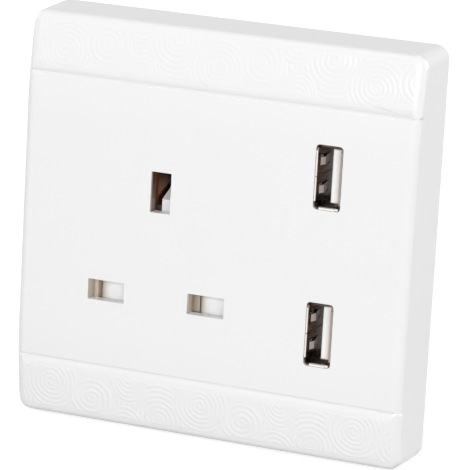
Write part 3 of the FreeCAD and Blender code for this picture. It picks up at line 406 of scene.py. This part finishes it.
# Painted shade: the jaw is darkened almost to black.
JAW_SHADE_AMOUNT = 0.97
JAW_SHADE = colour(0.02, 0.012, 0.012)
COPPER_DARK = colour(0.36, 0.13, 0.07)
COPPER_PALE = colour(0.56, 0.25, 0.14)


def shutter_plastic(name, body, edge_shade):
    """White slide plastic with painted shade that makes it darker and warmer towards the left edge of each
    pad, where the tan base shows beside it.
    """
    finish = satin_plastic(name, body, roughness=0.3, grain=0.1)
    across = finish.axes()[0]
    # Painted shade at the pads' left edges.
    shaded_pads = finish.ramp(across, LEFT_PAD_ACROSS) + finish.between(across, *RIGHT_PAD_ACROSS)
    return finish.set(Base_Color=finish.mix(shaded_pads, body, edge_shade))


def tongue_plastic(name, body, shade):
    """White tongue plastic with painted shade that makes it darker and warmer towards its right edge,
    beside the shell's wall.
    """
    finish = satin_plastic(name, body, roughness=0.35, grain=0.1)
    across = finish.axes()[0]
    # Painted shade towards the tongue's right edge.
    return finish.set(Base_Color=finish.mix(finish.ramp(across, TONGUE_ACROSS), body, shade))


def earth_copper(name):
    """Brown-toned copper strip, bright on its leaves, with painted shade darkening the jaw between them."""
    finish = Finish(name)
    across = finish.axes()[0]
    streaks = finish.noise(scale=900.0, roughness=0.6, stretch=(1, 1, 0.25))
    tone = finish.mix(streaks, COPPER_DARK, COPPER_PALE)
    # Painted shade in the jaw.
    tone = finish.mix(finish.ramp(across, JAW_ACROSS) * JAW_SHADE_AMOUNT, tone, JAW_SHADE)
    finish.set(Base_Color=tone, Roughness=0.24 + streaks * 0.14, Metallic=1.0)
    return finish.bump(streaks, strength=0.1, distance=GRAIN_DEPTH)


# The charger's board and its transformer's tape

TRACK_SCALE = 380.0
TRACK_SHARE = 0.42
MASK_GREEN = colour(0.03, 0.15, 0.07)
TRACK_GREEN = colour(0.05, 0.24, 0.1)
TURN_SCALE = 90.0
TURN_SHADE = 0.35
TURN_DEPTH = 0.1 * MM
TAPE_YELLOW = colour(0.82, 0.6, 0.08)
TAPE_SHADE = colour(0.6, 0.4, 0.05)


def board_laminate(name):
    """Green solder mask over faint copper tracks that run along the board."""
    finish = Finish(name)
    tracks = finish.node("ShaderNodeTexVoronoi", {"distance": "CHEBYCHEV", "feature": "F1"}, {
        "Vector": finish.place, "Scale": TRACK_SCALE})
    lines = Value(finish, tracks.outputs[0]) > TRACK_SHARE
    return finish.set(Base_Color=finish.mix(lines, MASK_GREEN, TRACK_GREEN), Roughness=0.35)


def wound_tape(name):
    """Yellow tape in overlapping turns."""
    finish = Finish(name)
    turns = finish.node("ShaderNodeTexWave", {"bands_direction": "Y"}, {
        "Vector": finish.place, "Scale": TURN_SCALE, "Distortion": 0.0})
    ridge = Value(finish, turns.outputs["Fac"])
    finish.set(Base_Color=finish.mix(ridge * TURN_SHADE, TAPE_YELLOW, TAPE_SHADE), Roughness=0.4)
    return finish.bump(ridge, strength=0.3, distance=TURN_DEPTH)


COVER_WHITE = grey(0.9)

cover_gloss = cover_plastic("cover_gloss", COVER_WHITE)
trim_gloss = gloss_plastic("trim_gloss", COVER_WHITE)
frame_white = frame_plastic("frame_white", colour(0.8, 0.79, 0.77))
# The base's third colour is painted dark-brown shade for the earth contact's chamber.
base_tan = base_moulding(
    "base_tan", rim=colour(0.72, 0.6, 0.48), body=colour(0.74, 0.62, 0.5), stain_and_shade=colour(0.09, 0.032, 0.018))
# The shutter's second colour is painted shade at the left edges of its pads.
shutter_white = shutter_plastic(
    "shutter_white", body=colour(0.95, 0.96, 0.97), edge_shade=colour(0.7, 0.61, 0.53))
case_black = satin_plastic("case_black", colour(0.035, 0.035, 0.038), roughness=0.5)
tongue_white = tongue_plastic("tongue_white", body=colour(0.96, 0.97, 0.98), shade=colour(0.7, 0.62, 0.57))
sleeve_navy = satin_plastic("sleeve_navy", colour(0.03, 0.035, 0.06), roughness=0.35, grain=0.1)
chip_black = satin_plastic("chip_black", grey(0.02), roughness=0.5)
ferrite_grey = satin_plastic("ferrite_grey", colour(0.05, 0.05, 0.055), roughness=0.6)
contact_brass = metal(
    "contact_brass", colour(0.72, 0.42, 0.2), roughness=0.26, stretch=(1, 6, 1),
    tarnish=0.5, tarnish_shade=0.6)
terminal_brass = metal("terminal_brass", colour(0.78, 0.57, 0.25), roughness=0.3, stretch=(1, 1, 5))
pin_gilt = metal("pin_gilt", colour(0.83, 0.62, 0.24), roughness=0.2)
link_copper = metal("link_copper", colour(0.78, 0.42, 0.26), roughness=0.28)
upper_port_steel = port_steel("upper_port_steel", PORT_Z)
lower_port_steel = port_steel("lower_port_steel", -PORT_Z)
earth_strip_copper = earth_copper("earth_strip_copper")
screw_zinc = metal("screw_zinc", colour(0.68, 0.66, 0.6), roughness=0.28)
spring_steel = metal("spring_steel", colour(0.6, 0.6, 0.61), roughness=0.25)
laminate = board_laminate("board_laminate")
tape = wound_tape("winding_tape")

FINISHES = {
    "front_cover": cover_gloss,
    "top_trim_strip": trim_gloss,
    "bottom_trim_strip": trim_gloss,
    "mounting_frame": frame_white,
    "contact_base": base_tan,
    "rear_cover": base_tan,
    "shutter": shutter_white,
    "shutter_spring": spring_steel,
    "line_contact": contact_brass,
    "neutral_contact": contact_brass,
    "earth_contact": earth_strip_copper,
    "line_terminal": terminal_brass,
    "neutral_terminal": terminal_brass,
    "earth_terminal": terminal_brass,
    "line_terminal_screw": screw_zinc,
    "neutral_terminal_screw": screw_zinc,
    "earth_terminal_screw": screw_zinc,
    "frame_screws": screw_zinc,
    "charger_case": case_black,
    "circuit_board": laminate,
    "transformer_core": ferrite_grey,
    "transformer_winding": tape,
    "input_capacitor": sleeve_navy,
    "output_capacitor": sleeve_navy,
    "control_chip": chip_black,
    "supply_links": link_copper,
    "upper_usb_shell": upper_port_steel,
    "lower_usb_shell": lower_port_steel,
    "upper_usb_tongue": tongue_white,
    "lower_usb_tongue": tongue_white,
    "upper_usb_pins": pin_gilt,
    "lower_usb_pins": pin_gilt,
}

for label, finish in FINISHES.items():
    give(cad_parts[label], finish)


# Swirl bands: each strip pressed smooth, with a skin of low ridges laid on it and a bead in its joint

# The plate's front, as in the solids: flat up to the crown, and rounded over at its edges and corners.
CROWN_START = 22 * MM
CROWN_RADIUS = 90 * MM
PLATE_DEPTH = 15.2 * MM
JOINT_HEIGHT = 30.1 * MM
EDGE_START = 40.8 * MM
EDGE_ROUND = 1.8 * MM
CORNER_START = 39.8 * MM

# The skin: the margins and fade of its ridges, its lift off the strip and the rim that sinks into it, the
# ridges' heights on each band, and its grid.
BORDER = 1.5 * MM
FIELD_PAST_EDGE = 0.55 * MM
FIELD_FADE = 0.7 * MM
SKIN_LIFT = 0.03 * MM
SKIN_SINK = 0.25 * MM
SKIN_RIM = 0.05 * MM
LOWER_RIDGES = 0.07 * MM
UPPER_RIDGES = 0.05 * MM
GRID_STEP = 0.15 * MM
SKIN_SMOOTHING = math.radians(40)

# The strip under it: vertices closer than these are one, before and after the pressing.
SAME_PLACE = 0.001 * MM
PRESSED_PLACE = 0.002 * MM
STRIP_SMOOTHING = math.radians(30)

# The bead: how far forward it stands, half its height and its reach to each side at the front, the slack
# that finds its back, and how the back narrows.
BEAD_BACK = 14.46 * MM
BEAD_FRONT = 14.72 * MM
BEAD_HALF = 0.22 * MM
BEAD_REACH = 41.2 * MM
BEAD_NEAR_BACK = 0.01 * MM
BEAD_TAPER = (0.985, 1, 0.1)

# One repeat of the pattern on the lower band, in millimetres: centre x, centre z, reach, ridge spacing,
# width against height, turns of the spiral (0 for rings) and start. Each one lies over those before it.
SWIRLS = [
    (-5.5, -27.3, 6.6, 1.0, 1.0, 0, 0.2),
    (-10.2, -39.7, 11.0, 1.1, 1.0, -1, 0.1),
    (-34.5, -35.3, 6.2, 1.0, 1.0, 1, 0.2),
    (-16.9, -31.0, 6.4, 1.0, 0.68, 0, 0.3),
    (-18.0, -42.0, 4.2, 1.0, 1.1, 0, 0.4),
    (-25.2, -37.4, 4.8, 1.2, 1.0, -1, 0.55),
]
SWIRL_REPEAT = 33.7 * MM
SWIRL_COPIES = range(-1, 3)


def crown(z):
    """Forward distance of the plate's crowned front at a height."""
    past = np.maximum(np.abs(z) - CROWN_START, 0.0)
    return PLATE_DEPTH - CROWN_RADIUS + np.sqrt(CROWN_RADIUS ** 2 - past ** 2)


def past_edge(x, z):
    """Distance beyond the line where the plate's front starts to round over, negative within it."""
    out_x = np.maximum(np.abs(x) - CORNER_START, 0.0)
    out_z = np.maximum(np.abs(z) - CORNER_START, 0.0)
    return np.hypot(out_x, out_z) - (EDGE_START - CORNER_START)


def front(x, z):
    """Forward distance of the strip's own face, rounding included."""
    past = np.clip(past_edge(x, z), 0.0, EDGE_ROUND)
    return crown(z) - EDGE_ROUND + np.sqrt(EDGE_ROUND ** 2 - past ** 2)


def ridges(x, z):
    """Height of the swirl ridges, from 0 to 1."""
    height = np.zeros(x.shape)
    for centre_x, centre_z, reach, spacing, width, turns, start in SWIRLS:
        for copy in SWIRL_COPIES:
            across = (x - centre_x * MM - copy * SWIRL_REPEAT) / width
            up = z - centre_z * MM
            radius = np.hypot(across, up) / MM
            turn = np.arctan2(up, across) / (2 * math.pi)
            ridge = 0.5 + 0.5 * np.cos(2 * math.pi * (radius / spacing - turns * turn + start))
            height = np.where(radius < reach, ridge, height)
    return height


def smooth_strip(name):
    """A strip with the coarse ribs of its solid pressed down to the crowned face."""
    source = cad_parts[name]
    strip = bpy.data.objects.new(name.replace("_strip", "_base"), source.data.copy())
    bpy.context.collection.objects.link(strip)
    choose(strip)
    bpy.ops.object.mode_set(mode="EDIT")
    bpy.ops.mesh.select_all(action="SELECT")
    bpy.ops.mesh.remove_doubles(threshold=SAME_PLACE)
    bpy.ops.object.mode_set(mode="OBJECT")
    points = read_points(strip.data)
    face = crown(points[:, 2])
    points[:, 1] = np.where(-points[:, 1] > face, -face, points[:, 1])
    write_points(strip.data, points)
    bpy.ops.object.mode_set(mode="EDIT")
    bpy.ops.mesh.select_all(action="SELECT")
    bpy.ops.mesh.remove_doubles(threshold=PRESSED_PLACE)
    bpy.ops.mesh.dissolve_degenerate(threshold=PRESSED_PLACE)
    bpy.ops.object.mode_set(mode="OBJECT")
    bpy.ops.object.shade_smooth_by_angle(angle=STRIP_SMOOTHING)
    give(strip, trim_gloss)
    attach(strip, "housing")
    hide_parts(name)


def swirl_skin(name, side, height):
    """A fine grid bent over the strip's face, its ridges raised and its rim sunk into the strip."""
    low = JOINT_HEIGHT + BORDER
    high = EDGE_START + FIELD_PAST_EDGE
    columns = round(2 * high / GRID_STEP)
    rows = round((high - low) / GRID_STEP)
    bpy.ops.object.select_all(action="DESELECT")
    bpy.ops.mesh.primitive_grid_add(x_subdivisions=columns, y_subdivisions=rows, size=1.0)
    skin = bpy.context.object
    skin.name = name
    points = read_points(skin.data)
    x = points[:, 0] * 2 * high
    z = -(low + (points[:, 1] + 0.5) * (high - low))
    inset = np.minimum(FIELD_PAST_EDGE - past_edge(x, z), -z - low)
    rise = np.clip(inset / FIELD_FADE, 0.0, 1.0)
    rise = rise * rise * (3 - 2 * rise)
    sunk = np.where(inset < SKIN_RIM, SKIN_SINK, 0.0)
    lift = SKIN_LIFT * np.sqrt(rise) + height * rise * ridges(x, z) - sunk
    lean = np.arcsin(np.maximum(np.abs(z) - CROWN_START, 0.0) / CROWN_RADIUS)
    y = -(front(x, z) + lift * np.cos(lean))
    write_points(skin.data, np.stack([x, y, side * -(z - lift * np.sin(lean))], axis=1))
    choose(skin)
    bpy.ops.object.mode_set(mode="EDIT")
    bpy.ops.mesh.select_all(action="SELECT")
    if side < 0:
        bpy.ops.mesh.flip_normals()
    bpy.ops.mesh.region_to_loop()
    bpy.ops.mesh.extrude_region_move(TRANSFORM_OT_translate={"value": (0, SKIN_SINK, 0)})
    bpy.ops.mesh.edge_face_add()
    bpy.ops.mesh.select_all(action="SELECT")
    bpy.ops.mesh.normals_make_consistent(inside=False)
    bpy.ops.object.mode_set(mode="OBJECT")
    bpy.ops.object.shade_smooth_by_angle(angle=SKIN_SMOOTHING)
    give(skin, trim_gloss)
    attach(skin, "housing")


def joint_bead(name, side):
    """A shallow white fillet in the bottom of the joint between the cover's face and a strip."""
    back = (0, -BEAD_BACK, side * JOINT_HEIGHT)
    bpy.ops.object.select_all(action="DESELECT")
    bpy.ops.mesh.primitive_cube_add(
        size=1.0, location=back, scale=(2 * BEAD_REACH, 2 * (BEAD_FRONT - BEAD_BACK), 2 * BEAD_HALF))
    bead = settle(bpy.context.object)
    bead.name = name
    bpy.ops.object.mode_set(mode="EDIT")
    bpy.ops.mesh.select_all(action="SELECT")
    bpy.ops.mesh.bisect(plane_co=back, plane_no=(0, 1, 0), clear_outer=True, use_fill=True)
    bpy.ops.object.mode_set(mode="OBJECT")
    for vertex in bead.data.vertices:
        vertex.select = vertex.co.y > -BEAD_BACK - BEAD_NEAR_BACK
    bpy.ops.object.mode_set(mode="EDIT")
    bpy.ops.mesh.select_mode(type="VERT")
    bpy.ops.transform.resize(value=BEAD_TAPER, center_override=back)
    bpy.ops.mesh.select_all(action="SELECT")
    bpy.ops.mesh.normals_make_consistent(inside=False)
    bpy.ops.object.mode_set(mode="OBJECT")
    give(bead, trim_gloss)
    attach(bead, "housing")


for word, side, height in (("bottom", -1, LOWER_RIDGES), ("top", 1, UPPER_RIDGES)):
    smooth_strip(word + "_trim_strip")
    swirl_skin(word + "_swirls", side, height)
    joint_bead(word + "_joint_bead", side)


# Floor and backdrop

WHITE = grey(1)
BLACK = grey(0)
FLOOR_SIZE = 8
FLOOR_SHADE = 0.4
FLOOR_GLOW = 0.76
AMBIENT = 0.22
BACKDROP = 1.0

floor_white = Finish("floor_white")
floor_white.set(
    Base_Color=grey(FLOOR_SHADE), Roughness=0.9, Emission_Strength=1.0,
    Emission_Color=floor_white.mix(floor_white.showing(), BLACK, grey(FLOOR_GLOW)))

bpy.ops.object.select_all(action="DESELECT")
bpy.ops.mesh.primitive_plane_add(size=FLOOR_SIZE, location=(0, 0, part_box("front_cover")[0].z))
floor = settle(bpy.context.object)
floor.name = "floor"
give(floor, floor_white)

world = bpy.data.worlds.new("studio")
bpy.context.scene.world = world
studio = Graph(world)
studio.tree.nodes.clear()
room = studio.node("ShaderNodeBackground", {}, {"Color": WHITE, "Strength": AMBIENT})
backdrop = studio.node("ShaderNodeBackground", {}, {"Color": WHITE, "Strength": BACKDROP})
blend = studio.node("ShaderNodeMixShader", {}, {
    0: studio.showing(), 1: Value(studio, room.outputs[0]), 2: Value(studio, backdrop.outputs[0])})
studio.node("ShaderNodeOutputWorld", {}, {0: Value(studio, blend.outputs[0])})


# Lamps and camera

def outward_from(azimuth, elevation):
    """The direction out from the plate, with azimuth 0 in front of it. Angles are in radians."""
    return Vector((math.sin(azimuth) * math.cos(elevation), -math.cos(azimuth) * math.cos(elevation),
                   math.sin(elevation)))


def softbox(name, azimuth, elevation, distance, width, height, level):
    """A lamp that faces the plate. Its level is about the brightness that it gives to white card there."""
    toward = outward_from(math.radians(azimuth), math.radians(elevation))
    lamp = bpy.data.lights.new(name, "AREA")
    lamp.shape = "RECTANGLE"
    lamp.size = width
    lamp.size_y = height
    lamp.energy = level * (math.pi * distance) ** 2
    holder = bpy.data.objects.new(name, lamp)
    bpy.context.collection.objects.link(holder)
    holder.location = toward * distance
    holder.rotation_euler = toward.to_track_quat("Z", "Y").to_euler()


softbox("key_softbox", azimuth=13, elevation=14.5, distance=2.0, width=1.2, height=0.45, level=0.692)
softbox("top_softbox", azimuth=0, elevation=70, distance=1.6, width=1.2, height=1.2, level=0.214)
softbox("right_softbox", azimuth=120, elevation=10, distance=1.6, width=1.2, height=1.2, level=0.63)
softbox("left_softbox", azimuth=-105, elevation=10, distance=1.6, width=1.2, height=1.2, level=0.3)

# The camera, fitted to the photograph. The image and the focal length are in pixels, the sensor in
# millimetres, and the distance is from the aim point.
IMAGE_WIDTH = 470
FOCAL_PIXELS = 3349.8
SENSOR = 36.0
AZIMUTH = math.radians(21.338)
ELEVATION = math.radians(13.315)
ROLL = math.radians(3.243)
DISTANCE = 0.6935
AIM = Vector((-0.715, 0, -1.939)) * MM

outward = outward_from(AZIMUTH, ELEVATION)
level_right = Vector((math.cos(AZIMUTH), math.sin(AZIMUTH), 0))
level_up = outward.cross(level_right)
right = math.cos(ROLL) * level_right + math.sin(ROLL) * level_up
up = -math.sin(ROLL) * level_right + math.cos(ROLL) * level_up
view = bpy.data.cameras.new("camera")
view.sensor_width = SENSOR
view.lens = SENSOR * FOCAL_PIXELS / IMAGE_WIDTH
camera = bpy.data.objects.new("camera", view)
bpy.context.collection.objects.link(camera)
turned = Matrix((right, up, outward)).transposed().to_4x4()
turned.translation = AIM + DISTANCE * outward
camera.matrix_world = turned
bpy.context.scene.camera = camera
bpy.context.scene.view_settings.view_transform = "Standard"
